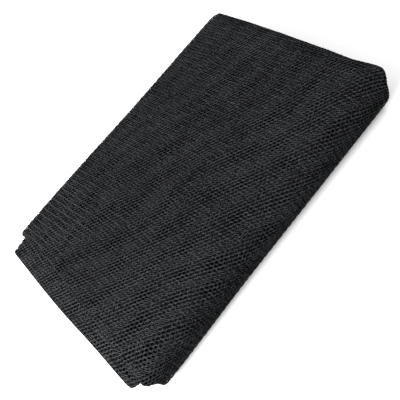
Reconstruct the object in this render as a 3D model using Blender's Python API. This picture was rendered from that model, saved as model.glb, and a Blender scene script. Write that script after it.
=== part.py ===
"""A mesh door screen, folded into a flat packet that lies on its broad side.

The net is one cut cloth. Its length is pleated into a band of many plies, as long as
the packet, and the band is then folded in half three times. The solid is that band:
one sheet that runs back and forth through eight layers, with four folds nested at the
near side, and three folds and both cut ends at the far side.

Metres. X runs along the packet, +Y to its far side and +Z up. The origin is at the
middle of the footprint, on the surface that the packet lies on.
"""
import math
from collections import namedtuple

import bmesh
import bpy
from mathutils import Vector

# Driving dimensions of the packet
PACKET_LENGTH = 0.1763
PACKET_WIDTH = 0.112
PACKET_HEIGHT = 0.0265
BAND_THICKNESS = 0.0024
LAYERS = 8

# Outline of the folds: 2 is a half circle, and more is squarer
SMALL_FOLD_SQUARENESS = 2.0
WIDE_FOLD_SQUARENESS = 2.5

# How finely the band is stepped along its flat runs, round its folds and lengthways
STEPS_PER_RUN = 7
LEAST_STEPS_PER_FOLD = 6
METRES_PER_FOLD_STEP = 0.0029
STATIONS_BETWEEN = 11

# How far the far folds and the band's two cut ends stand back from the far side
TOP_FOLD_BACK = 0.0008
DEEP_FOLD_BACK = 0.0012
UPPER_CUT_END_BACK = 0.0
LOWER_CUT_END_BACK = 0.0030

# How the layers end at one end of the packet. layers has a row for each layer, top
# one first: how far it stands back at its near corner and at its far corner, and how
# far it stands out between them. The upper half of the layers spreads towards the near
# corner: flare says how far, and reach where that starts. turn is the stretch of each
# near fold, as shares from its upper layer round to its lower one, where the end goes
# from one to the other.
PacketEnd = namedtuple("PacketEnd", "layers flare reach turn")
LEFT_END = PacketEnd(
    layers=(
        (0.0043, 0.0105, -0.0018),
        (0.0033, 0.0098, -0.0016),
        (0.0000, -0.0005, 0.0016),
        (-0.0005, -0.0010, 0.0016),
        (0.0000, -0.0005, 0.0016),
        (0.0030, 0.0000, 0.0014),
        (0.0060, -0.0005, 0.0012),
        (0.0063, 0.0005, 0.0012),
    ),
    flare=0.0018,
    reach=0.045,
    turn=(0.262, 0.50),
)
RIGHT_END = PacketEnd(
    layers=(
        (0.0004, 0.0009, 0.0018),
        (0.0004, 0.0004, 0.0018),
        (0.0005, 0.0010, 0.0018),
        (0.0010, 0.0020, 0.0018),
        (0.0015, 0.0010, 0.0018),
        (0.0025, 0.0020, 0.0018),
        (0.0022, 0.0015, 0.0018),
        (0.0028, 0.0025, 0.0018),
    ),
    flare=0.0033,
    reach=0.022,
    turn=(0.16, 0.42),
)

# The band's edges are soft: distance in from the edge, share of the thickness there
EDGE_ROUNDING = ((0.0, 0.40), (0.0004, 0.80), (0.0011, 1.0))

# The packet's soft unevenness, as shares of its height
END_DROOP = 0.05
END_DROOP_REACH = 0.008
WAVE = 0.018
WAVE_LENGTH_X = 0.115
WAVE_LENGTH_Y = 0.083
WAVE_START_X = 0.012

# The packet isn't quite square. Its far side reaches further at the left end, and the
# foot of its near side spreads there, from a place on X, over a length, up to a height
# and back to a depth.
FAR_SKEW = 0.0008
FOOT_SPREAD = 0.0015
FOOT_START_X = -0.015
FOOT_LENGTH = 0.055
FOOT_HEIGHT = 0.012
FOOT_DEPTH = 0.040

# The packet rests on the flat middle and the four corners of its underside. Between
# the corners the rim is lifted a little: by how much, over what distance from an end
# or from a side, and from where to where along them.
RIM_LIFT = 0.0006
RIM_REACH_X = 0.016
RIM_REACH_Y = 0.013
RIM_X = (-0.0814, 0.0849)
RIM_Y = (-0.0425, 0.0475)
UNDERSIDE_Y = (-0.0438, 0.0490)

NET_BLACK = (0.018, 0.019, 0.021, 1.0)
NET_ROUGHNESS = 0.6
SMOOTH_UP_TO = math.radians(60)

LAYER_PITCH = (PACKET_HEIGHT - BAND_THICKNESS) / (LAYERS - 1)
SMALLEST_RADIUS = LAYER_PITCH / 2
LARGEST_RADIUS = LAYER_PITCH * (LAYERS - 1) / 2
NEAR_FOLD_CENTRE = (LARGEST_RADIUS + BAND_THICKNESS / 2) - PACKET_WIDTH / 2

# A point of the band's path: its place, the layers that it lies between, and the
# share of the fold from one to the other that has been passed
PathPoint = namedtuple("PathPoint", "y z before after share")

# A place along the band's length: the end that it is measured from, or "between" for
# a share of the length, and the share of the thickness there
Station = namedtuple("Station", "measured_from value thickness")


def clear_scene():
    for item in list(bpy.data.objects):
        bpy.data.objects.remove(item, do_unlink=True)


def net_material():
    material = bpy.data.materials.new("black_net")
    material.use_nodes = True
    shader = material.node_tree.nodes["Principled BSDF"]
    shader.inputs["Base Color"].default_value = NET_BLACK
    shader.inputs["Roughness"].default_value = NET_ROUGHNESS
    shader.inputs["Metallic"].default_value = 0.0
    return material


def eased(share):
    """0 to 1 with a soft start and stop."""
    share = min(max(share, 0.0), 1.0)
    return share * share * (3.0 - 2.0 * share)


def blend(first, second, share):
    return first + (second - first) * share


def layer_height(layer):
    """Middle of a layer's thickness. Layer 0 is the top one."""
    return PACKET_HEIGHT - BAND_THICKNESS / 2 - layer * LAYER_PITCH


def fold_radius(first, second):
    return abs(first - second) * LAYER_PITCH / 2


def far_fold_centre(first, second, back):
    """Where a far fold between two layers starts to turn."""
    return PACKET_WIDTH / 2 - back - BAND_THICKNESS / 2 - fold_radius(first, second)


def run(layer, start, stop):
    """Evenly spaced points along the flat run of a layer, without its last one."""
    points = []
    for step in range(STEPS_PER_RUN):
        y = blend(start, stop, step / STEPS_PER_RUN)
        points.append(PathPoint(y, layer_height(layer), layer, layer, 0.0))
    return points


def fold(first, second, centre, way):
    """Points round a fold from one layer to another. way is -1 at the near side."""
    radius = fold_radius(first, second)
    middle = (layer_height(first) + layer_height(second)) / 2
    downwards = 1.0 if second > first else -1.0
    width = (radius - SMALLEST_RADIUS) / (LARGEST_RADIUS - SMALLEST_RADIUS)
    power = 2.0 / blend(SMALL_FOLD_SQUARENESS, WIDE_FOLD_SQUARENESS, width)
    steps = max(LEAST_STEPS_PER_FOLD, round(math.pi * radius / METRES_PER_FOLD_STEP))
    points = []
    for step in range(steps):
        angle = math.pi * step / steps
        outwards = radius * math.sin(angle) ** power
        rise = math.copysign(radius * abs(math.cos(angle)) ** power, math.cos(angle))
        y = centre + way * outwards
        z = middle + downwards * rise
        points.append(PathPoint(y, z, first, second, step / steps))
    return points


def band_path():
    """Points along the folded band, from its upper cut end to its lower one."""
    near = NEAR_FOLD_CENTRE
    top_fold = far_fold_centre(0, 1, TOP_FOLD_BACK)
    deep_fold = far_fold_centre(4, 7, DEEP_FOLD_BACK)
    upper_cut_end = PACKET_WIDTH / 2 - UPPER_CUT_END_BACK
    lower_cut_end = PACKET_WIDTH / 2 - LOWER_CUT_END_BACK
    path = run(2, upper_cut_end, near) + fold(2, 5, near, -1)
    path += run(5, near, deep_fold) + fold(5, 6, deep_fold, 1)
    path += run(6, deep_fold, near) + fold(6, 1, near, -1)
    path += run(1, near, top_fold) + fold(1, 0, top_fold, 1)
    path += run(0, top_fold, near) + fold(0, 7, near, -1)
    path += run(7, near, deep_fold) + fold(7, 4, deep_fold, 1)
    path += run(4, deep_fold, near) + fold(4, 3, near, -1)
    path += run(3, near, lower_cut_end)
    path.append(PathPoint(lower_cut_end, layer_height(3), 3, 3, 0.0))
    return path


def across(path, index):
    """Unit vector across the band's thickness at a point of its path."""
    before = path[max(index - 1, 0)]
    after = path[min(index + 1, len(path) - 1)]
    along = Vector((after.y - before.y, after.z - before.z)).normalized()
    return Vector((-along.y, along.x))


def layer_setback(end, layer, y):
    """How far one layer stands back from an end of the packet."""
    from_near = y + PACKET_WIDTH / 2
    depth = from_near / PACKET_WIDTH
    near, far, bulge = end.layers[layer]
    spread = end.flare * (1.0 - eased(from_near / end.reach)) if layer < LAYERS / 2 else 0.0
    return blend(near, far, eased(depth)) - bulge * math.sin(math.pi * depth) - spread


def setback(end, point):
    """How far the band stands back from an end of the packet, at a point of its path."""
    upper = layer_setback(end, min(point.before, point.after), point.y)
    lower = layer_setback(end, max(point.before, point.after), point.y)
    lowered = point.share if point.after > point.before else 1.0 - point.share
    if point.y < 0.0:
        start, stop = end.turn
        lowered = (lowered - start) / (stop - start)
    return blend(upper, lower, eased(lowered))


def stations():
    left = [Station("left", inset, thickness) for inset, thickness in EDGE_ROUNDING]
    right = [Station("right", inset, thickness) for inset, thickness in reversed(EDGE_ROUNDING)]
    between = []
    for step in range(1, STATIONS_BETWEEN + 1):
        between.append(Station("between", step / (STATIONS_BETWEEN + 1), 1.0))
    return left + between + right


def station_x(station, left_edge, right_edge):
    if station.measured_from == "left":
        return left_edge + station.value
    if station.measured_from == "right":
        return right_edge - station.value
    return blend(left_edge, right_edge, station.value)


def height_share(x, y):
    """The packet's height at a place, as a share of its nominal height."""
    from_end = PACKET_LENGTH / 2 - abs(x)
    droop = END_DROOP * (1.0 - eased(from_end / END_DROOP_REACH))
    along = math.sin(2 * math.pi * (x + WAVE_START_X) / WAVE_LENGTH_X)
    wave = along * math.cos(2 * math.pi * y / WAVE_LENGTH_Y)
    return 1.0 - droop + WAVE * wave


def uneven_y(x, y, z):
    """Where a place of an even packet lies along Y in the real, uneven one."""
    from_near = y + PACKET_WIDTH / 2
    skew = FAR_SKEW * eased(from_near / PACKET_WIDTH) * x / (PACKET_LENGTH / 2)
    low = (1.0 - eased(z / FOOT_HEIGHT)) * (1.0 - eased(from_near / FOOT_DEPTH))
    foot = FOOT_SPREAD * low * eased((FOOT_START_X - x) / FOOT_LENGTH)
    return y - skew - foot


def arch(value, ends):
    """0 at both ends of a stretch and 1 in its middle."""
    share = min(max((value - ends[0]) / (ends[1] - ends[0]), 0.0), 1.0)
    return math.sin(math.pi * share)


def rim_lift(x, y, z):
    """How far a place on the underside is lifted off the surface that it lies on."""
    from_end = PACKET_LENGTH / 2 - abs(x)
    from_side = min(y - UNDERSIDE_Y[0], UNDERSIDE_Y[1] - y)
    end_part = arch(y, RIM_Y) * (1.0 - eased(from_end / RIM_REACH_X))
    side_part = arch(x, RIM_X) * (1.0 - eased(from_side / RIM_REACH_Y))
    return RIM_LIFT * max(end_part, side_part) * (1.0 - eased(z / BAND_THICKNESS))


def folded_place(path, index, side, station):
    """Where a point of the flat band goes when the band is folded up."""
    point = path[index]
    left_edge = setback(LEFT_END, point) - PACKET_LENGTH / 2
    right_edge = PACKET_LENGTH / 2 - setback(RIGHT_END, point)
    x = station_x(station, left_edge, right_edge)
    offset = across(path, index) * side * station.thickness * BAND_THICKNESS / 2
    y = point.y + offset.x
    z = point.z + offset.y
    place = Vector((x, uneven_y(x, y, z), z * height_share(x, y)))
    place.z += rim_lift(*place)
    return place


def flat_slab(bm, steps_along, steps_across):
    """A slab of unit half-width and unit thickness, whose corners count the steps."""
    bmesh.ops.create_grid(bm, x_segments=steps_along, y_segments=steps_across, size=1.0)
    upper = bmesh.ops.extrude_face_region(bm, geom=bm.faces[:])["geom"]
    raised = [item for item in upper if isinstance(item, bmesh.types.BMVert)]
    bmesh.ops.translate(bm, verts=raised, vec=(0.0, 0.0, 1.0))
    bmesh.ops.translate(bm, verts=bm.verts, vec=(0.0, 0.0, -0.5))


def fold_up(bm, path, places):
    """Move each corner of the flat slab to its place in the folded packet."""
    for vertex in bm.verts:
        index = round((vertex.co.x + 1.0) / 2.0 * (len(path) - 1))
        station = places[round((vertex.co.y + 1.0) / 2.0 * (len(places) - 1))]
        side = math.copysign(1.0, vertex.co.z)
        vertex.co = folded_place(path, index, side, station)


def centre_on_footprint(bm):
    xs = [vertex.co.x for vertex in bm.verts]
    ys = [vertex.co.y for vertex in bm.verts]
    zs = [vertex.co.z for vertex in bm.verts]
    shift = Vector((-(min(xs) + max(xs)) / 2, -(min(ys) + max(ys)) / 2, -min(zs)))
    bmesh.ops.translate(bm, verts=bm.verts, vec=shift)


def folded_screen():
    """The pleated band, first as a flat slab and then folded up."""
    path = band_path()
    places = stations()
    bm = bmesh.new()
    flat_slab(bm, len(path) - 1, len(places) - 1)
    fold_up(bm, path, places)
    centre_on_footprint(bm)
    bmesh.ops.recalc_face_normals(bm, faces=bm.faces)
    mesh = bpy.data.meshes.new("folded_screen")
    bm.to_mesh(mesh)
    bm.free()
    mesh.shade_smooth()
    mesh.set_sharp_from_angle(angle=SMOOTH_UP_TO)
    mesh.materials.append(net_material())
    screen = bpy.data.objects.new("folded_screen", mesh)
    bpy.context.scene.collection.objects.link(screen)


clear_scene()
folded_screen()
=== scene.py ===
# %% [markdown]
# # A mosquito door screen, folded into a packet
#
# The real thing is one black net of polyester yarn, 2.1 m by 0.9 m, with hexagonal holes
# that are about 2 mm apart. It is pleated along its length into a band of twelve plies,
# and the band is then folded in half three times. What lies on the table is a soft,
# flat packet of 96 plies, 175 mm long.
#
# Two things make it look like net and not like felt. The plies on the outside have to
# be real threads round real holes, because the light catches the threads and is lost in
# the holes. And two such plies have to lie over each other a little askew, because that
# gives the wavy patches of light and dark that every folded net shows.
#
# The imported solid is loaded first.

# %% Load the frame
import math
from bisect import bisect_right
from collections import namedtuple

import bmesh
import bpy
from mathutils import Matrix, Vector, noise


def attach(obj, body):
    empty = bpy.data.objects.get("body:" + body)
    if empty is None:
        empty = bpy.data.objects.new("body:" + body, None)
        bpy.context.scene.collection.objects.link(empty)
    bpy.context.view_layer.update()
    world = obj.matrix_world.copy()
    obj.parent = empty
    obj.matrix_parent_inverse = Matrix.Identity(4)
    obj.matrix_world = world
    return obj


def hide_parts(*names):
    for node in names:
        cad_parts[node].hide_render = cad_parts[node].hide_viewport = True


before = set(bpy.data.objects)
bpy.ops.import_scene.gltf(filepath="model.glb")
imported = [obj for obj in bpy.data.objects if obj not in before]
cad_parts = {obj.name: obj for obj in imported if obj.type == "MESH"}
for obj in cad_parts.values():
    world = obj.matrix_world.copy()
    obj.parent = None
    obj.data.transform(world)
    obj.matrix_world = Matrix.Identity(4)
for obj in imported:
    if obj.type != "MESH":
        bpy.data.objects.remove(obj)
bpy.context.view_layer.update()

# %% [markdown]
# ## Where the camera stands
#
# The photograph looks down on the packet from its near side, and the picture is then
# turned, so that the packet's long side runs up to the right. In Blender that turn is
# the camera's roll. A camera looks along its own -Z, so it starts by looking straight
# down, is tipped up by what is missing from 90 degrees, and is turned about Z.

# %% The camera
CAMERA_PLACE = Vector((-0.03780, -0.15055, 0.21354))
CAMERA_YAW = math.radians(12.812)
CAMERA_PITCH_DOWN = math.radians(54.711)
CAMERA_ROLL = math.radians(-39.92)
CAMERA_LENS_MM = 44.94
SENSOR_WIDTH_MM = 36.0
NEAREST_SEEN = 0.01

camera_data = bpy.data.cameras.new("photo_camera")
camera_data.lens = CAMERA_LENS_MM
camera_data.sensor_width = SENSOR_WIDTH_MM
camera_data.clip_start = NEAREST_SEEN
camera = bpy.data.objects.new("photo_camera", camera_data)
bpy.context.scene.collection.objects.link(camera)
turn = Matrix.Rotation(-CAMERA_YAW, 4, "Z")
tip = Matrix.Rotation(math.pi / 2 - CAMERA_PITCH_DOWN, 4, "X")
roll = Matrix.Rotation(CAMERA_ROLL, 4, "Z")
camera.matrix_world = Matrix.Translation(CAMERA_PLACE) @ turn @ tip @ roll
bpy.context.scene.camera = camera

# %% [markdown]
# ## The sizes of the packet
#
# These are the sizes of the solid, so that every ply lies where the solid is. The solid
# keeps its layers a little apart. Here the band is as thick as its twelve plies really
# are, so the layers press on each other. The corner at the near left sags a little more
# than in the solid, as it does in the photograph.

# %% Sizes
PACKET_LENGTH = 0.1763
PACKET_WIDTH = 0.112
PACKET_HEIGHT = 0.0265
LAYERS = 8
PLIES = 12
BAND_THICKNESS = 0.00325
PLY_PITCH = BAND_THICKNESS / PLIES

# Outline of the folds: 2 is a half circle, and more is squarer
SMALL_FOLD_SQUARENESS = 2.0
WIDE_FOLD_SQUARENESS = 2.5

# How far the far folds and the band's two cut ends stand back from the far side
TOP_FOLD_BACK = 0.0008
DEEP_FOLD_BACK = 0.0012
UPPER_CUT_END_BACK = 0.0
LOWER_CUT_END_BACK = 0.0030

# The packet's soft unevenness, as shares of its height
END_DROOP = 0.05
END_DROOP_REACH = 0.008
CORNER_DROOP = 0.10
CORNER_DROOP_REACH = 0.018
CORNER_DROOP_DEPTH = 0.080
WAVE = 0.018
WAVE_LENGTH_X = 0.115
WAVE_LENGTH_Y = 0.083
WAVE_START_X = 0.012

# The far side reaches further at the left end, and the foot of the near side spreads there
FAR_SKEW = 0.0008
FOOT_SPREAD = 0.0015
FOOT_START_X = -0.015
FOOT_LENGTH = 0.055
FOOT_HEIGHT = 0.012
FOOT_DEPTH = 0.040

# The solid was centred on its footprint at the end, which moved it by this much
CENTRED_Y = -0.00042

LAYER_PITCH = (PACKET_HEIGHT - BAND_THICKNESS) / (LAYERS - 1)
SMALLEST_RADIUS = LAYER_PITCH / 2
LARGEST_RADIUS = LAYER_PITCH * (LAYERS - 1) / 2
NEAR_FOLD_CENTRE = (LARGEST_RADIUS + BAND_THICKNESS / 2) - PACKET_WIDTH / 2

# %% [markdown]
# ## How the layers end
#
# Folded cloth never ends flush. At each end of the packet every layer stands back or
# stands out by its own amount, and at the far left the two upper layers are about
# 10 mm short. A row of numbers for each layer says so: how far it stands back at its
# near corner and at its far corner, and how far it stands out between them. Towards the
# near corner the upper four layers also spread, by the flare and within its reach. The
# near folds join an upper layer to a lower one, and `turn` says on which stretch of the
# fold its end changes from one to the other.

# %% The two ends
PacketEnd = namedtuple("PacketEnd", "layers flare reach turn")
LEFT_END = PacketEnd(
    layers=(
        (0.0043, 0.0105, -0.0018),
        (0.0033, 0.0098, -0.0016),
        (-0.0008, -0.0005, 0.0016),
        (-0.0012, -0.0010, 0.0016),
        (-0.0008, -0.0005, 0.0016),
        (0.0030, 0.0000, 0.0014),
        (0.0060, -0.0005, 0.0012),
        (0.0063, 0.0005, 0.0012),
    ),
    flare=0.0018,
    reach=0.045,
    turn=(0.30, 0.52),
)
RIGHT_END = PacketEnd(
    layers=(
        (0.0004, 0.0009, 0.0018),
        (0.0004, 0.0004, 0.0018),
        (0.0005, 0.0010, 0.0018),
        (0.0010, 0.0020, 0.0018),
        (0.0015, 0.0010, 0.0018),
        (0.0014, 0.0020, 0.0018),
        (0.0010, 0.0015, 0.0018),
        (0.0012, 0.0025, 0.0018),
    ),
    flare=0.0033,
    reach=0.022,
    turn=(0.16, 0.42),
)


def eased(share):
    """0 to 1 with a soft start and stop."""
    share = min(max(share, 0.0), 1.0)
    return share * share * (3.0 - 2.0 * share)


def blend(first, second, share):
    return first + (second - first) * share


def layer_setback(end, layer, y):
    """How far one layer stands back from an end of the packet."""
    from_near = y + PACKET_WIDTH / 2
    depth = min(max(from_near / PACKET_WIDTH, 0.0), 1.0)
    near, far, bulge = end.layers[layer]
    spread = end.flare * (1.0 - eased(from_near / end.reach)) if layer < LAYERS / 2 else 0.0
    return blend(near, far, eased(depth)) - bulge * math.sin(math.pi * depth) - spread


def setback(end, point):
    """How far the band stands back from an end of the packet, at a point of its path."""
    upper = layer_setback(end, min(point.before, point.after), point.y)
    lower = layer_setback(end, max(point.before, point.after), point.y)
    lowered = point.share if point.after > point.before else 1.0 - point.share
    if point.y < 0.0:
        start, stop = end.turn
        lowered = (lowered - start) / (stop - start)
    return blend(upper, lower, eased(lowered))


# %% [markdown]
# ## The path of the folded band
#
# A folded cloth is easiest to make flat and then to fold. So the first thing is the
# line that the band follows, seen from the end of the packet: flat runs through eight
# layers, and folds that nest in each other at the near side. A fold could be a half
# circle, but a soft packet sags, so its wide folds are a little squarer: their outline
# is a superellipse.

# %% The path
RUN_STEPS = 14
FOLD_STEP = 0.0008
LEAST_FOLD_STEPS = 8
PathPoint = namedtuple("PathPoint", "y z before after share")


def layer_height(layer):
    """Middle of a layer's thickness. Layer 0 is the top one."""
    return PACKET_HEIGHT - BAND_THICKNESS / 2 - layer * LAYER_PITCH


def fold_radius(first, second):
    return abs(first - second) * LAYER_PITCH / 2


def far_fold_centre(first, second, back):
    """Where a far fold between two layers starts to turn."""
    return PACKET_WIDTH / 2 - back - BAND_THICKNESS / 2 - fold_radius(first, second)


def run(layer, start, stop):
    """Evenly spaced points along the flat run of a layer, without its last one."""
    points = []
    for step in range(RUN_STEPS):
        y = blend(start, stop, step / RUN_STEPS)
        points.append(PathPoint(y, layer_height(layer), layer, layer, 0.0))
    return points


def fold(first, second, centre, way):
    """Points round a fold from one layer to another. way is -1 at the near side."""
    radius = fold_radius(first, second)
    middle = (layer_height(first) + layer_height(second)) / 2
    downwards = 1.0 if second > first else -1.0
    width = (radius - SMALLEST_RADIUS) / (LARGEST_RADIUS - SMALLEST_RADIUS)
    power = 2.0 / blend(SMALL_FOLD_SQUARENESS, WIDE_FOLD_SQUARENESS, width)
    steps = max(LEAST_FOLD_STEPS, round(math.pi * radius / FOLD_STEP))
    points = []
    for step in range(steps):
        angle = math.pi * step / steps
        outwards = radius * math.sin(angle) ** power
        rise = math.copysign(radius * abs(math.cos(angle)) ** power, math.cos(angle))
        y = centre + way * outwards
        points.append(PathPoint(y, middle + downwards * rise, first, second, step / steps))
    return points


def band_path():
    """Points along the folded band, from its upper cut end to its lower one."""
    near = NEAR_FOLD_CENTRE
    top_fold = far_fold_centre(0, 1, TOP_FOLD_BACK)
    deep_fold = far_fold_centre(4, 7, DEEP_FOLD_BACK)
    upper_cut_end = PACKET_WIDTH / 2 - UPPER_CUT_END_BACK
    lower_cut_end = PACKET_WIDTH / 2 - LOWER_CUT_END_BACK
    path = run(2, upper_cut_end, near) + fold(2, 5, near, -1)
    path += run(5, near, deep_fold) + fold(5, 6, deep_fold, 1)
    path += run(6, deep_fold, near) + fold(6, 1, near, -1)
    path += run(1, near, top_fold) + fold(1, 0, top_fold, 1)
    path += run(0, top_fold, near) + fold(0, 7, near, -1)
    path += run(7, near, deep_fold) + fold(7, 4, deep_fold, 1)
    path += run(4, deep_fold, near) + fold(4, 3, near, -1)
    path += run(3, near, lower_cut_end)
    path.append(PathPoint(lower_cut_end, layer_height(3), 3, 3, 0.0))
    return path


PATH = band_path()
print("points on the path", len(PATH))

# %% [markdown]
# ## A track for each ply
#
# A ply on the outside of a fold has a longer way round than one on the inside. If all
# plies were measured along the middle of the band, the holes of the outer ones would
# come out stretched. So each ply gets a track of its own, beside the path, and is
# measured along that. A track also knows where the packet's two ends are, all the way.

# %% Tracks
TrackPoint = namedtuple("TrackPoint", "way y z out_y out_z left right lift point")
Track = namedtuple("Track", "ways points")
TINY = 1e-9


def outwards_at(index):
    """Unit vector from the band to its outer side, at a point of the path."""
    before = PATH[max(index - 1, 0)]
    after = PATH[min(index + 1, len(PATH) - 1)]
    along = Vector((after.y - before.y, after.z - before.z)).normalized()
    return Vector((along.y, -along.x))


def track(lift):
    """The line of a ply that lies at this lift from the middle of the band."""
    points = []
    way = 0.0
    for index, point in enumerate(PATH):
        out = outwards_at(index)
        y = point.y + out.x * lift
        z = point.z + out.y * lift
        if points:
            way += math.hypot(y - points[-1].y, z - points[-1].z)
        left = setback(LEFT_END, point) - PACKET_LENGTH / 2
        right = PACKET_LENGTH / 2 - setback(RIGHT_END, point)
        points.append(TrackPoint(way, y, z, out.x, out.y, left, right, lift, point))
    return Track([point.way for point in points], points)


def spot_on(line, way):
    """The points before and after a place on a track, and the share on to the second."""
    index = min(max(bisect_right(line.ways, way) - 1, 0), len(line.ways) - 2)
    first, second = line.points[index], line.points[index + 1]
    return first, second, (way - first.way) / max(second.way - first.way, TINY)


def height_share(x, y):
    """The packet's height at a place, as a share of its nominal height."""
    from_end = PACKET_LENGTH / 2 - abs(x)
    droop = END_DROOP * (1.0 - eased(from_end / END_DROOP_REACH))
    if x < 0.0:
        nearness = 1.0 - eased((y + PACKET_WIDTH / 2) / CORNER_DROOP_DEPTH)
        droop += CORNER_DROOP * nearness * (1.0 - eased(from_end / CORNER_DROOP_REACH))
    along = math.sin(2 * math.pi * (x + WAVE_START_X) / WAVE_LENGTH_X)
    wave = along * math.cos(2 * math.pi * y / WAVE_LENGTH_Y)
    return 1.0 - droop + WAVE * wave


def uneven_y(x, y, z):
    """Where a place of an even packet lies along Y in the real, uneven one."""
    from_near = y + PACKET_WIDTH / 2
    skew = FAR_SKEW * eased(from_near / PACKET_WIDTH) * x / (PACKET_LENGTH / 2)
    low = (1.0 - eased(z / FOOT_HEIGHT)) * (1.0 - eased(from_near / FOOT_DEPTH))
    foot = FOOT_SPREAD * low * eased((FOOT_START_X - x) / FOOT_LENGTH)
    return y - skew - foot + CENTRED_Y


OUTER_TRACK = track(BAND_THICKNESS / 2)

# %% [markdown]
# ## Materials
#
# The net is warp-knitted, and its holes lie on a hexagonal lattice. Every piece of net
# carries its own flat coordinates in a UV map, in metres, so that a pattern goes round
# each fold with the cloth. On these coordinates a lattice is a sum of plain waves, and
# each wave is a dot product and a cosine.

# %% Waves on the flat cloth
COLUMN_PITCH = 0.00178
ROW_PITCH = 0.00193
FLAT_MAP = "flat_cloth"


def start_material(name):
    material = bpy.data.materials.new(name)
    material.use_nodes = True
    nodes = material.node_tree.nodes
    shader = nodes["Principled BSDF"]
    return material, nodes, material.node_tree.links, shader


def flat_place(nodes):
    uv = nodes.new("ShaderNodeUVMap")
    uv.uv_map = FLAT_MAP
    return uv.outputs["UV"]


def calculate(nodes, links, operation, first, second=None, third=None):
    """One Math node. Each input is a number or another node's output."""
    node = nodes.new("ShaderNodeMath")
    node.operation = operation
    for socket, value in zip(node.inputs, (first, second, third)):
        if value is None:
            continue
        if isinstance(value, (int, float)):
            socket.default_value = value
        else:
            links.new(value, socket)
    return node.outputs["Value"]


def wave(nodes, links, flat, across, along, start=0.0):
    """A wave with so many crests for each column and row of holes, and where it starts."""
    dot = nodes.new("ShaderNodeVectorMath")
    dot.operation = "DOT_PRODUCT"
    per_metre = (2 * math.pi * across / COLUMN_PITCH, 2 * math.pi * along / ROW_PITCH, 0.0)
    dot.inputs[1].default_value = per_metre
    links.new(flat, dot.inputs[0])
    turned = calculate(nodes, links, "ADD", dot.outputs["Value"], start)
    return calculate(nodes, links, "COSINE", turned)


def noise_node(nodes, links, vector, scale, detail):
    texture = nodes.new("ShaderNodeTexNoise")
    texture.inputs["Scale"].default_value = scale
    texture.inputs["Detail"].default_value = detail
    links.new(vector, texture.inputs["Vector"])
    return texture.outputs["Fac"]


def add_colour(nodes, links, shader, share, dark, light):
    """Colours the surface: dark where the share is 0, and light where it is 1."""
    ramp = nodes.new("ShaderNodeValToRGB")
    ramp.color_ramp.elements[0].color = dark
    ramp.color_ramp.elements[1].color = light
    links.new(share, ramp.inputs["Fac"])
    links.new(ramp.outputs["Color"], shader.inputs["Base Color"])


def add_bump(nodes, links, shader, height, strength, depth):
    bump = nodes.new("ShaderNodeBump")
    bump.inputs["Strength"].default_value = strength
    bump.inputs["Distance"].default_value = depth
    links.new(height, bump.inputs["Height"])
    links.new(bump.outputs["Normal"], shader.inputs["Normal"])


# %% [markdown]
# ## The threads
#
# Black polyester isn't a flat black. Each thread is a bundle of fine filaments, and each
# knitted loop has its own tone and catches the light in its own way, so noise paints
# each loop a little lighter or darker: partly its own tone, partly a painted glint. The
# yarn crosses from column to column in one slant and comes back in the other, and one
# of the two takes more light, so that slant is painted lighter: a painted highlight.
# That is why the holes of this net seem to join up into short dark dashes. One wave for
# each slant and one for both make that, and a fourth makes every second column a little
# lighter. Noise on Object coordinates adds the loops and what handling does.
#
# Two places look different. At the left of the far fold the net is pulled tight, and its
# columns stand out as thin light lines: partly real, and partly a painted highlight on
# the columns that stand proud. Near the near left corner a painted sheen makes it a
# little paler. Each is a spot with a reach: the share is 0 beyond the first distance
# and 1 within the second. Yarn like this has almost no gloss. With any, it would turn
# pale where it is seen at a low angle, so the shader's specular level is 0.

# %% Thread material
Thread = namedtuple("Thread", "name dark light")
OUTER_THREAD = Thread(
    name="black_thread",
    dark=(0.0006, 0.0006, 0.0007, 1.0),
    light=(0.0278, 0.0292, 0.0306, 1.0),
)
# The second ply is the same yarn, but its light threads are painted lighter and its darkest ones
# darker: painted light and shade on the ply below
LIT_SECOND_PLY_THREAD = Thread(
    name="lit_second_ply_thread",
    dark=(0.0004, 0.0004, 0.0005, 1.0),
    light=(0.0325, 0.0342, 0.0358, 1.0),
)
# The strip of the third layer is the same yarn painted lighter: painted light on the strip beside
# the top layer's end
LIT_STRIP_THREAD = Thread(
    name="lit_strip_thread",
    dark=(0.0006, 0.0006, 0.0007, 1.0),
    light=(0.0345, 0.0358, 0.0372, 1.0),
)

# How much light each part adds. What adds up is then sharpened by the contrast
MEAN_LIGHT = -0.70
HANDLED_SCALE = 45.0
HANDLED_DETAIL = 3.0
HANDLED_SHARE = 0.4
# Noise for each loop: partly its own tone, partly a painted glint
LOOP_SCALE = 1450.0
LOOP_DETAIL = 1.0
LOOP_TONE_AND_GLINT_SHARE = 2.0
# The slant waves paint one slant lighter than the other: a painted highlight
RISING_SHARE = 0.04
FALLING_SHARE = -0.25
SLANTS_SHARE = -0.11
COLUMN_SHARE = 0.06
COLUMN_START = -math.pi / 2
CONTRAST = 1.7
# Where the net is pulled tight, its columns get painted highlight lines
TIGHT_AT = (-0.060, 0.046, 0.026)
TIGHT_REACH = (0.034, 0.012)
# A painted sheen: near the near left corner the threads are painted paler
SHEEN_SPOT_AT = (-0.076, -0.030, 0.038)
SHEEN_SPOT_REACH = (0.046, 0.012)
SHEEN_SPOT_SHARE = 0.15
HIGHLIGHT_LINE_SHARPNESS = 6.0
HIGHLIGHT_LINE_SHARE = 0.7
FILAMENT_SCALE = 5200.0
FILAMENT_DETAIL = 2.0
FILAMENT_BUMP = 0.6
FILAMENT_DEPTH = 0.00004
THREAD_ROUGHNESS = 0.6
HANDLED_ROUGHNESS = -0.2


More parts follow.
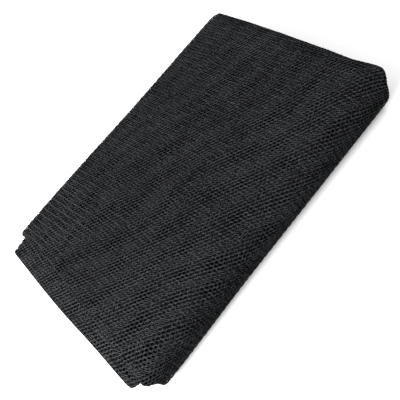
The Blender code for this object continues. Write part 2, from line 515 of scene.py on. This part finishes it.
def nearness(nodes, links, place, spot, reach):
    """0 beyond the first distance of the reach from a spot, and 1 within the second."""
    distance = nodes.new("ShaderNodeVectorMath")
    distance.operation = "DISTANCE"
    distance.inputs[1].default_value = spot
    links.new(place, distance.inputs[0])
    near = nodes.new("ShaderNodeMapRange")
    near.inputs["From Min"].default_value = reach[0]
    near.inputs["From Max"].default_value = reach[1]
    links.new(distance.outputs["Value"], near.inputs["Value"])
    return near.outputs["Result"]


def tight_column_highlights(nodes, links, place, columns):
    """Painted highlight: thin lines on every second column, where the net is pulled tight."""
    tight = nearness(nodes, links, place, TIGHT_AT, TIGHT_REACH)
    crests = calculate(nodes, links, "MAXIMUM", columns, 0.0)
    lines = calculate(nodes, links, "POWER", crests, HIGHLIGHT_LINE_SHARPNESS)
    return calculate(nodes, links, "MULTIPLY", lines, tight)


def thread_material(thread):
    material, nodes, links, shader = start_material(thread.name)
    flat = flat_place(nodes)
    place = nodes.new("ShaderNodeTexCoord").outputs["Object"]
    handled = noise_node(nodes, links, place, HANDLED_SCALE, HANDLED_DETAIL)
    columns = wave(nodes, links, flat, 0.5, 0.0, COLUMN_START)
    light = MEAN_LIGHT
    for part, share in (
        (handled, HANDLED_SHARE),
        (noise_node(nodes, links, place, LOOP_SCALE, LOOP_DETAIL), LOOP_TONE_AND_GLINT_SHARE),
        (wave(nodes, links, flat, 0.5, 1.0), RISING_SHARE),
        (wave(nodes, links, flat, 0.5, -1.0), FALLING_SHARE),
        (wave(nodes, links, flat, 1.0, 0.0), SLANTS_SHARE),
        (columns, COLUMN_SHARE),
        (tight_column_highlights(nodes, links, place, columns), HIGHLIGHT_LINE_SHARE),
        # the painted sheen near the near left corner
        (nearness(nodes, links, place, SHEEN_SPOT_AT, SHEEN_SPOT_REACH), SHEEN_SPOT_SHARE),
    ):
        light = calculate(nodes, links, "MULTIPLY_ADD", part, share, light)
    light = calculate(nodes, links, "MAXIMUM", light, 0.0)
    light = calculate(nodes, links, "POWER", light, CONTRAST)
    add_colour(nodes, links, shader, light, thread.dark, thread.light)
    filaments = noise_node(nodes, links, place, FILAMENT_SCALE, FILAMENT_DETAIL)
    add_bump(nodes, links, shader, filaments, FILAMENT_BUMP, FILAMENT_DEPTH)
    rough = calculate(nodes, links, "MULTIPLY_ADD", handled, HANDLED_ROUGHNESS, THREAD_ROUGHNESS)
    links.new(rough, shader.inputs["Roughness"])
    shader.inputs["Specular IOR Level"].default_value = 0.0
    return material


black_thread = thread_material(OUTER_THREAD)
lit_second_ply_thread = thread_material(LIT_SECOND_PLY_THREAD)
lit_strip_thread = thread_material(LIT_STRIP_THREAD)
print("materials", black_thread.name, lit_second_ply_thread.name, lit_strip_thread.name)

# %% [markdown]
# ## The painted net
#
# Under the first two plies nobody can see a single thread any more, only that the net
# goes on. So the other ten plies are a plain sheet, and their holes are painted. Three
# waves, whose directions are 60 degrees apart, have their crests together in the middle
# of each hole. A closed sheet throws back more light than ten plies of net do, so the
# painted threads are darker than the real ones: painted shade of the deep stack. The
# painted holes are near black, painted shade of the plies below them. At the packet's
# two ends the sheet is seen directly, so the loops there have lighter threads.

# %% Painted net material
HOLE_EDGE = 0.15
THREAD_EDGE = -0.55
# Painted shade: the holes and the inner plies' threads are painted darker than the yarn
HOLE_SHADE_COLOUR = (0.0004, 0.0004, 0.0005, 1.0)
SHADED_PLY_THREAD_COLOUR = (0.0050, 0.0053, 0.0056, 1.0)
LOOP_THREAD_COLOUR = (0.0200, 0.0210, 0.0220, 1.0)
PAINTED_BUMP = 0.8
PAINTED_DEPTH = 0.00015
PAINTED_ROUGHNESS = 0.6


def painted_net_material(name, thread_colour):
    material, nodes, links, shader = start_material(name)
    flat = flat_place(nodes)
    rising = wave(nodes, links, flat, 0.5, 1.0)
    falling = wave(nodes, links, flat, 0.5, -1.0)
    waves = calculate(nodes, links, "ADD", rising, falling)
    waves = calculate(nodes, links, "ADD", waves, wave(nodes, links, flat, 1.0, 0.0))
    solid = nodes.new("ShaderNodeMapRange")
    solid.inputs["From Min"].default_value = HOLE_EDGE
    solid.inputs["From Max"].default_value = THREAD_EDGE
    links.new(waves, solid.inputs["Value"])
    thread = solid.outputs["Result"]
    add_colour(nodes, links, shader, thread, HOLE_SHADE_COLOUR, thread_colour)
    add_bump(nodes, links, shader, thread, PAINTED_BUMP, PAINTED_DEPTH)
    shader.inputs["Roughness"].default_value = PAINTED_ROUGHNESS
    shader.inputs["Specular IOR Level"].default_value = 0.0
    return material


shaded_painted_net = painted_net_material("shaded_painted_net", SHADED_PLY_THREAD_COLOUR)
painted_loops = painted_net_material("painted_loops", LOOP_THREAD_COLOUR)
print("materials", shaded_painted_net.name, painted_loops.name)

# %% [markdown]
# ## Pleating the sheet
#
# The ten inner plies are one sheet: a grid, whose columns run along the band and whose
# rows run across it. The columns are first shared out over the plies. Each ply crosses
# the packet and turns over into the next one in a small loop. The loops at an end don't
# line up: the outer ones lie a little further in, and each has a mind of its own. The
# sheet's first and last columns are its two free edges.

# %% The pleats
NET_PLIES = 2
CROSSING_STEPS = 9
LOOP_STEPS = 4
LOOP_INSET = 0.0002
OUTER_LOOP_INSET = 0.0004
LOOSE_LOOP = 0.0005
FREE_EDGE_INSET = 0.0003

# Where in the noise the loops of each end read their own shift
LOOP_NOISE_STEP = 3.7
LOOP_NOISE_ROW = {"left": 11.0, "right": 23.0}
LOOP_NOISE_HEIGHT = 0.5
Column = namedtuple("Column", "ply end inset across lift flat")


def ply_lift(ply):
    """The outer side of a ply, from the middle of the band. Ply 0 is the outer one."""
    return BAND_THICKNESS / 2 - ply * PLY_PITCH


def loop_inset(ply, end):
    """How far the loop after a ply lies in from the end of the band."""
    middle = (ply_lift(ply) + ply_lift(ply + 1)) / 2
    outer = (2.0 * middle / BAND_THICKNESS) ** 2
    spot = (ply * LOOP_NOISE_STEP, LOOP_NOISE_ROW[end], LOOP_NOISE_HEIGHT)
    own = noise.noise(Vector(spot))
    return LOOP_INSET + OUTER_LOOP_INSET * outer + LOOSE_LOOP * own


def pleat_columns():
    """Every column of the sheet: its ply, where it is across the packet, and its lift."""
    columns = []
    flat = 0.0
    for ply in range(NET_PLIES, PLIES):
        forward = (ply - NET_PLIES) % 2 == 0
        start, stop = ("left", "right") if forward else ("right", "left")
        if ply == NET_PLIES:
            columns.append(Column(ply, start, FREE_EDGE_INSET, 0.0, ply_lift(ply), flat))
        for step in range(CROSSING_STEPS):
            share = (step + 0.5) / CROSSING_STEPS
            across = share if forward else 1.0 - share
            here = flat + share * PACKET_LENGTH
            columns.append(Column(ply, "between", 0.0, across, ply_lift(ply), here))
        flat += PACKET_LENGTH
        if ply == PLIES - 1:
            columns.append(Column(ply, stop, FREE_EDGE_INSET, 0.0, ply_lift(ply), flat))
            break
        radius = PLY_PITCH / 2
        middle = ply_lift(ply) - radius
        inset = loop_inset(ply, stop)
        for step in range(LOOP_STEPS + 1):
            angle = math.pi * step / LOOP_STEPS
            inwards = inset + radius * (1.0 - math.sin(angle))
            lift = middle + radius * math.cos(angle)
            columns.append(Column(ply, stop, inwards, 0.0, lift, flat + radius * angle))
        flat += math.pi * radius
    return columns


COLUMNS = pleat_columns()
print("columns in the pleated sheet", len(COLUMNS))
print("its flat length, m", round(COLUMNS[-1].flat, 2))

# %% [markdown]
# ## Folding the sheet
#
# Now each corner of the grid goes to its place. Its row gives the point of the path,
# its column the lift and the distance from the packet's ends. The first and the last
# rows are the cut ends of the net. They aren't flush, because the plies slide over each
# other when the band is folded, so each ply is a little longer or shorter there. At the
# packet's two ends the band gets thinner, so that its edge is round and not cut square.

# %% The folded sheet
CUT_END_STAGGER = 0.0014
STAGGER_REACH = 0.012
BAND_EDGE_ROLL = 0.0045
BAND_EDGE_SHARE = 0.38

# Where in the noise the plies of each cut end read their own shift
CUT_NOISE_STEP = 5.3
CUT_NOISE_END_STEP = 9.1
CUT_NOISE_HEIGHT = 2.2


def edge_share(from_end):
    """The band's thickness at a distance from its end, as a share. Its edge is rounded."""
    inwards = min(max(from_end / BAND_EDGE_ROLL, 0.0), 1.0)
    return BAND_EDGE_SHARE + (1.0 - BAND_EDGE_SHARE) * math.sqrt(1.0 - (1.0 - inwards) ** 2)


def staggered(way, whole, ply, end_number):
    """Moves a place near a cut end along the band, by an amount that goes with its ply."""
    spot = (ply * CUT_NOISE_STEP, end_number * CUT_NOISE_END_STEP, CUT_NOISE_HEIGHT)
    own = CUT_END_STAGGER * noise.noise(Vector(spot))
    from_end = way if end_number == 0 else whole - way
    shift = own * (1.0 - eased(from_end / STAGGER_REACH))
    return shift if end_number == 0 else -shift


def ends_at(line, way):
    """The x of the packet's left and right end, at a place on a track."""
    first, second, share = spot_on(line, way)
    return blend(first.left, second.left, share), blend(first.right, second.right, share)


def folded_place(line, way, x, from_end, height):
    """Where a ply's corner goes: its way along the track, its x, and its height above it."""
    first, second, share = spot_on(line, way)
    height -= first.lift * (1.0 - edge_share(from_end))
    y = blend(first.y, second.y, share) + blend(first.out_y, second.out_y, share) * height
    z = blend(first.z, second.z, share) + blend(first.out_z, second.out_z, share) * height
    return Vector((x, uneven_y(x, y, z), z * height_share(x, y)))


def column_x(column, left, right):
    if column.end == "left":
        return left + column.inset
    if column.end == "right":
        return right - column.inset
    return blend(left, right, column.across)


def finish_piece(name, bm, material):
    """Makes the mesh an object that belongs to the packet."""
    mesh = bpy.data.meshes.new(name)
    bm.to_mesh(mesh)
    bm.free()
    mesh.shade_smooth()
    mesh.materials.append(material)
    piece = bpy.data.objects.new(name, mesh)
    bpy.context.scene.collection.objects.link(piece)
    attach(piece, "root")
    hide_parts("folded_screen")
    mesh.calc_loop_triangles()
    print(name, len(mesh.loop_triangles), "triangles")
    return piece


def inner_plies():
    rows = len(PATH) - 1
    bm = bmesh.new()
    bmesh.ops.create_grid(bm, x_segments=rows, y_segments=len(COLUMNS) - 1, size=1.0)
    flat_map = bm.loops.layers.uv.new(FLAT_MAP)
    tracks = {}
    placed = {}
    end_of = {}
    for vertex in bm.verts:
        row = round((vertex.co.x + 1.0) / 2.0 * rows)
        column = COLUMNS[round((vertex.co.y + 1.0) / 2.0 * (len(COLUMNS) - 1))]
        if column.lift not in tracks:
            tracks[column.lift] = track(column.lift)
        line = tracks[column.lift]
        way, whole = line.ways[row], line.ways[-1]
        moved = way + staggered(way, whole, column.ply, 0) + staggered(way, whole, column.ply, 1)
        left, right = ends_at(line, moved)
        x = column_x(column, left, right)
        placed[vertex] = (column.flat, way)
        end_of[vertex] = column.end
        vertex.co = folded_place(line, moved, x, min(x - left, right - x), 0.0)
    for face in bm.faces:
        in_loop = all(end_of[vertex] != "between" for vertex in face.verts)
        face.material_index = 1 if in_loop else 0
        for loop in face.loops:
            loop[flat_map].uv = placed[loop.vert]
    piece = finish_piece("inner_plies", bm, shaded_painted_net)
    piece.data.materials.append(painted_loops)
    return piece


inner = inner_plies()

# %% [markdown]
# ## One hole of the net
#
# A net could be made of thousands of little tubes, but most of each tube would never be
# seen. It is far lighter to start from a hole. A flat hexagon is inset, the inset goes
# down by the height of a thread, and the middle is deleted. What is left is a ring that
# falls from the middle of the threads to the edge of the hole. Where two such rings
# meet, their slopes together make one rounded thread.
#
# The ring of a fine cell has twelve corners. The extra ones, in the middle of each side,
# let the two sides that run across rise, where the loops are knitted, and let the falling
# slants rise and the rising ones sink and get thinner. The hole is also made less high
# and its corners are drawn in. The plies that are seen less get a plain cell.

# %% A cell
THREAD_WIDTH = 0.00033
THREAD_RISE = 0.000175
LOOP_RISE = 0.00009
SLANT_RISE = 0.00009
LOOP_SIDE_SHARE = 0.86
CORNER_SHARE = 0.93
THIN_SIDE_SHARE = 1.12
HEXAGON_TURN = math.radians(30)
SLANT_REACH = COLUMN_PITCH / 8
CLOSE = 0.00001


def shape_fine_cell(bm):
    """Moves the corners of a ring: those at its hole lie low, and the others high."""
    for vertex in bm.verts:
        x, y, z = vertex.co
        between_columns = abs(abs(x) - COLUMN_PITCH / 2) < SLANT_REACH
        on_slant = between_columns and min(abs(x), abs(y)) > CLOSE
        if z < -CLOSE:
            share = CORNER_SHARE
            if on_slant:
                share = THIN_SIDE_SHARE if x * y > 0 else 1.0
            vertex.co = (x * share, y * share * LOOP_SIDE_SHARE, z)
        elif abs(x) < CLOSE:
            vertex.co.z += LOOP_RISE
        elif on_slant:
            vertex.co.z += SLANT_RISE if x * y < 0 else -SLANT_RISE


def one_cell(bm, fine):
    """A ring of threads round one hole, at the origin. Two of its sides run along X."""
    made = bmesh.ops.create_circle(bm, cap_ends=True, segments=6, radius=1.0)["verts"]
    bmesh.ops.rotate(bm, verts=made, cent=(0, 0, 0), matrix=Matrix.Rotation(HEXAGON_TURN, 3, "Z"))
    size = (2.0 * COLUMN_PITCH / 3.0, ROW_PITCH / math.sqrt(3.0), 1.0)
    bmesh.ops.scale(bm, verts=made, vec=size)
    if fine:
        bmesh.ops.subdivide_edges(bm, edges=bm.edges[:], cuts=1)
    bmesh.ops.inset_individual(bm, faces=bm.faces[:], thickness=THREAD_WIDTH / 2,
                               depth=-THREAD_RISE, use_even_offset=True)
    middle = max(bm.faces, key=lambda face: len(face.verts))
    bmesh.ops.delete(bm, geom=[middle], context="FACES_ONLY")
    if fine:
        shape_fine_cell(bm)


def thread_share(fine):
    """The share of a cell that is thread and not hole, seen from above."""
    bm = bmesh.new()
    one_cell(bm, fine)
    bmesh.ops.scale(bm, verts=bm.verts, vec=(1.0, 1.0, 0.0))
    area = sum(face.calc_area() for face in bm.faces)
    bm.free()
    return area / (COLUMN_PITCH * ROW_PITCH)


print("share of thread in a fine cell", round(thread_share(True), 2))
print("and in a plain one", round(thread_share(False), 2))

# %% [markdown]
# ## A flat net
#
# Two cells side by side, one half a hole higher, repeat in straight rows and columns.
# Spin with no angle is a plain row of copies: it makes the first row, and then the row
# is copied up the net. Merging by distance joins each cell to its neighbours, and every
# corner notes its flat place in the UV map before anything is bent. Then the threads
# between two columns of holes rise a little and the next ones sink, by turns.

# %% The flat net
MERGE_DISTANCE = 0.00002
COLUMN_LIFT = 0.00009


def row_of_copies(bm, geometry, step, copies):
    bmesh.ops.spin(bm, geom=geometry, cent=(0, 0, 0), axis=(0, 0, 1), dvec=step,
                   angle=0.0, steps=copies, use_duplicate=True)


def everything(bm):
    return bm.verts[:] + bm.edges[:] + bm.faces[:]


def flat_net(width, length, fine):
    """A net of about this size, with its middle at the origin."""
    bm = bmesh.new()
    one_cell(bm, fine)
    pairs = round(width / (2 * COLUMN_PITCH))
    rows = round(length / ROW_PITCH)
    row_of_copies(bm, everything(bm), (COLUMN_PITCH, ROW_PITCH / 2, 0.0), 1)
    row_of_copies(bm, everything(bm), (2 * COLUMN_PITCH, 0.0, 0.0), pairs - 1)
    row_of_copies(bm, everything(bm), (0.0, ROW_PITCH, 0.0), rows - 1)
    bmesh.ops.remove_doubles(bm, verts=bm.verts, dist=MERGE_DISTANCE)
    flat_map = bm.loops.layers.uv.new(FLAT_MAP)
    for face in bm.faces:
        for loop in face.loops:
            loop[flat_map].uv = loop.vert.co.xy
    for vertex in bm.verts:
        vertex.co.z += COLUMN_LIFT * math.sin(math.pi * vertex.co.x / COLUMN_PITCH)
    middle = (-(pairs - 0.5) * COLUMN_PITCH, -(rows - 0.5) * ROW_PITCH / 2, 0.0)
    bmesh.ops.translate(bm, verts=bm.verts, vec=middle)
    return bm


print("columns of holes in the packet's length", round(PACKET_LENGTH / COLUMN_PITCH))

# %% [markdown]
# ## How the net lies
#
# A net is never square to the packet once it has been pulled and folded. The threads of
# the outer ply slant one way, and since the next ply is the same net turned over by the
# pleat, its threads slant the other way. Both are a little wider at the right end, and
# their rows a little further apart towards the near side. The slant is a small matrix.
# On top of it noise shifts every place a little, slowly over some centimetres and
# quickly over one, because the net was pulled unevenly. Vector noise starts somewhere
# else in each run of Blender unless it gets a seed, so it gets one. Most of the patches
# of light and dark on the packet come from these two plies.

# %% The lie of the two plies
Lie = namedtuple("Lie", "across along seed")
OUTER_LIE = Lie((1.004, 0.105), (0.108, 0.989), 3.1)
SECOND_LIE = Lie((1.008, -0.134), (0.057, 0.984), 8.6)
WIDER_TO_THE_RIGHT = 0.47
LONGER_TO_THE_NEAR = 0.80
LONGER_UP_TO = 0.05
SLOW_PULL = 0.0007
SLOW_PULL_OVER = 0.035
QUICK_PULL = 0.0002
QUICK_PULL_OVER = 0.012
PULL_SEED = 3
noise.seed_set(PULL_SEED)


def lie_matrix(lie):
    return Matrix((
        (lie.across[0], lie.across[1], 0.0, 0.0),
        (lie.along[0], lie.along[1], 0.0, 0.0),
        (0.0, 0.0, 1.0, 0.0),
        (0.0, 0.0, 0.0, 1.0),
    ))


def pull(x, y, amount, over, seed):
    """An uneven shift of a point of the net, from noise that changes over a length."""
    return amount * noise.noise_vector(Vector((x / over, y / over, seed)))


def pulled(lie, x, y):
    """Where a point of the net goes. Both are distances from the middle of its layer."""
    within = min(abs(y), LONGER_UP_TO)
    wide = WIDER_TO_THE_RIGHT * x * x
    long = LONGER_TO_THE_NEAR * within * (2.0 * abs(y) - within)
    shift = pull(x, y, SLOW_PULL, SLOW_PULL_OVER, lie.seed)
    shift += pull(x, y, QUICK_PULL, QUICK_PULL_OVER, -lie.seed)
    return x + wide + shift.x, y + long + shift.y


for lie in (OUTER_LIE, SECOND_LIE):
    slant = math.degrees(math.atan2(lie.across[1], lie.along[1]))
    print("slant of the columns, degrees", round(slant, 1))

# %% [markdown]
# ## Folding the net
#
# The flat net is folded as the sheet was, but only round the outside of the packet. At
# the two ends it turns over the edge of the band. What would reach further in is
# trimmed off first, because it can't be seen. Across the top the net's way runs towards
# the near side, against the Y axis, which turns the faces inside out, so the last step
# turns them back.

# %% Folding
WRAP_RADIUS = 0.00045
WRAP_ANGLE = math.radians(150)
NET_END_INSET = 0.0003
NET_SLACK = 0.030
Cut = namedtuple("Cut", "name layer ply start stop width fine lie material")


def wrapped(beyond, radius):
    """How a strip past the edge of the band turns over it: further out, and lower."""
    angle = min(beyond / radius, WRAP_ANGLE)
    rest = max(beyond - WRAP_ANGLE * radius, 0.0)
    out = radius * math.sin(angle) + rest * math.cos(angle)
    down = radius * (1.0 - math.cos(angle)) + rest * math.sin(angle)
    return out, down


def turning_places(line, way):
    """The x at the left and at the right where the net starts to turn over the edge."""
    left, right = ends_at(line, way)
    return left + NET_END_INSET + WRAP_RADIUS, right - NET_END_INSET - WRAP_RADIUS


def trim(bm, line, cut):
    """Cuts off what lies past the piece's edges or would never be seen."""
    furthest = WRAP_RADIUS * WRAP_ANGLE
    unseen = []
    for face in bm.faces:
        x, way = face.verts[0].co.xy
        left, right = turning_places(line, way)
        outside = max(left - x, x - right) > furthest or x - left > cut.width
        if outside or not cut.start < way < cut.stop:
            unseen.append(face)
    bmesh.ops.delete(bm, geom=unseen, context="FACES")


def fold_net(bm, line):
    for vertex in bm.verts:
        x, way, height = vertex.co
        left, right = turning_places(line, way)
        from_end = min(x - left, right - x) + NET_END_INSET + WRAP_RADIUS
        if x < left:
            out, down = wrapped(left - x, WRAP_RADIUS)
            x, height = left - out, height - down
        elif x > right:
            out, down = wrapped(x - right, WRAP_RADIUS)
            x, height = right + out, height - down
        vertex.co = folded_place(line, way, x, from_end, height)
    bmesh.ops.reverse_faces(bm, faces=bm.faces)


def way_to_middle(line, layer):
    """The way along a track at which it passes the middle of a layer."""
    on_layer = [p for p in line.points if p.point.before == p.point.after == layer]
    return min(on_layer, key=lambda p: abs(p.y)).way


def net_piece(cut):
    """One piece of net, cut out of a larger flat one and folded on to the packet."""
    line = track(ply_lift(cut.ply))
    top_middle = way_to_middle(line, cut.layer)
    rows_off = round(((cut.start + cut.stop) / 2 - top_middle) / ROW_PITCH)
    slack = NET_SLACK + abs(rows_off) * ROW_PITCH / 4
    bm = flat_net(PACKET_LENGTH + slack, cut.stop - cut.start + slack, cut.fine)
    bmesh.ops.translate(bm, verts=bm.verts, vec=(0.0, rows_off * ROW_PITCH, 0.0))
    bmesh.ops.transform(bm, matrix=lie_matrix(cut.lie), verts=bm.verts)
    for vertex in bm.verts:
        x, y = pulled(cut.lie, vertex.co.x, vertex.co.y)
        vertex.co.x, vertex.co.y = x, y + top_middle
    trim(bm, line, cut)
    fold_net(bm, line)
    piece = finish_piece(cut.name, bm, cut.material)
    width = min(cut.width, PACKET_LENGTH)
    length = cut.stop - cut.start
    area = width * length * thread_share(cut.fine)


# %% [markdown]
# ## The pieces of net
#
# The fine cells go where they are seen best: over the far fold, across the top and down
# the near side. A plain net carries on underneath and up the far side. The ply below
# them is one plain piece. At the left end the third layer stands out from under the
# upper two, so it gets two strips of its own, one for each ply.

# %% Cutting and folding
HIDDEN_TUCK = 0.004
UNDER_FOOT = 0.0015
STRIP_WIDTH = 0.017
STRIP_ROUND_FOLD = 0.012
WHOLE_WIDTH = 1.0


def way_where(line, before, after, last):
    """The way along a track where the fold between two layers starts, or ends."""
    ways = [p.way for p in line.points if (p.point.before, p.point.after) == (before, after)]
    return ways[-1] if last else ways[0]


over_start = way_where(OUTER_TRACK, 1, 0, False) - HIDDEN_TUCK
over_stop = way_where(OUTER_TRACK, 0, 7, True) + UNDER_FOOT
beneath_stop = way_where(OUTER_TRACK, 7, 4, True) + HIDDEN_TUCK
strip_stop = way_where(OUTER_TRACK, 2, 5, False) + STRIP_ROUND_FOLD

for cut in (
    Cut("outer_net", 0, 0, over_start, over_stop, WHOLE_WIDTH, True, OUTER_LIE, black_thread),
    Cut("beneath_net", 0, 0, over_stop, beneath_stop, WHOLE_WIDTH, False, OUTER_LIE, black_thread),
    Cut("second_net", 0, 1, over_start, beneath_stop, WHOLE_WIDTH, False, SECOND_LIE, lit_second_ply_thread),
    Cut("strip_net", 2, 0, 0.0, strip_stop, STRIP_WIDTH, True, SECOND_LIE, lit_strip_thread),
    Cut("strip_second", 2, 1, 0.0, strip_stop, STRIP_WIDTH, False, OUTER_LIE, lit_second_ply_thread),
):
    net_piece(cut)

# %% [markdown]
# ## Floor and light
#
# The photograph was taken on pure white, in light that comes from all round and a
# little more from the upper left. A pale floor, a white world, one wide lamp overhead
# and a smaller one at the left do the same.

# %% Studio
ROOM_STRENGTH = 0.85
FLOOR_ALBEDO = 0.66
FLOOR_ROUGHNESS = 0.8
FLOOR_RADIUS = 3.0
FLOOR_SIDES = 64
Lamp = namedtuple("Lamp", "name place size watts")
LAMPS = (
    Lamp("ceiling_lamp", (-0.2, 0.2, 1.3), 2.4, 27.0),
    Lamp("left_lamp", (-0.55, -0.12, 0.33), 0.35, 12.0),
)

floor_bm = bmesh.new()
bmesh.ops.create_circle(floor_bm, cap_ends=True, segments=FLOOR_SIDES, radius=FLOOR_RADIUS)
floor_mesh = bpy.data.meshes.new("floor")
floor_bm.to_mesh(floor_mesh)
floor_bm.free()
floor = bpy.data.objects.new("floor", floor_mesh)
bpy.context.scene.collection.objects.link(floor)
floor_material, _, _, floor_shader = start_material("pale_floor")
floor_shader.inputs["Base Color"].default_value = (FLOOR_ALBEDO, FLOOR_ALBEDO, FLOOR_ALBEDO, 1.0)
floor_shader.inputs["Roughness"].default_value = FLOOR_ROUGHNESS
floor_mesh.materials.append(floor_material)

world = bpy.data.worlds.new("white_room")
world.use_nodes = True
sky_nodes = world.node_tree.nodes
sky_nodes["Background"].inputs["Color"].default_value = (1.0, 1.0, 1.0, 1.0)
sky_nodes["Background"].inputs["Strength"].default_value = ROOM_STRENGTH
bpy.context.scene.world = world
bpy.context.scene.view_settings.view_transform = "Standard"


def area_lamp(lamp):
    """A soft round lamp that is aimed at the origin."""
    data = bpy.data.lights.new(lamp.name, "AREA")
    data.shape = "DISK"
    data.size = lamp.size
    data.energy = lamp.watts
    made = bpy.data.objects.new(lamp.name, data)
    made.location = lamp.place
    made.rotation_euler = (-Vector(lamp.place)).to_track_quat("-Z", "Y").to_euler()
    bpy.context.scene.collection.objects.link(made)


for lamp in LAMPS:
    area_lamp(lamp)
print("white world and soft lamps:", len(LAMPS))
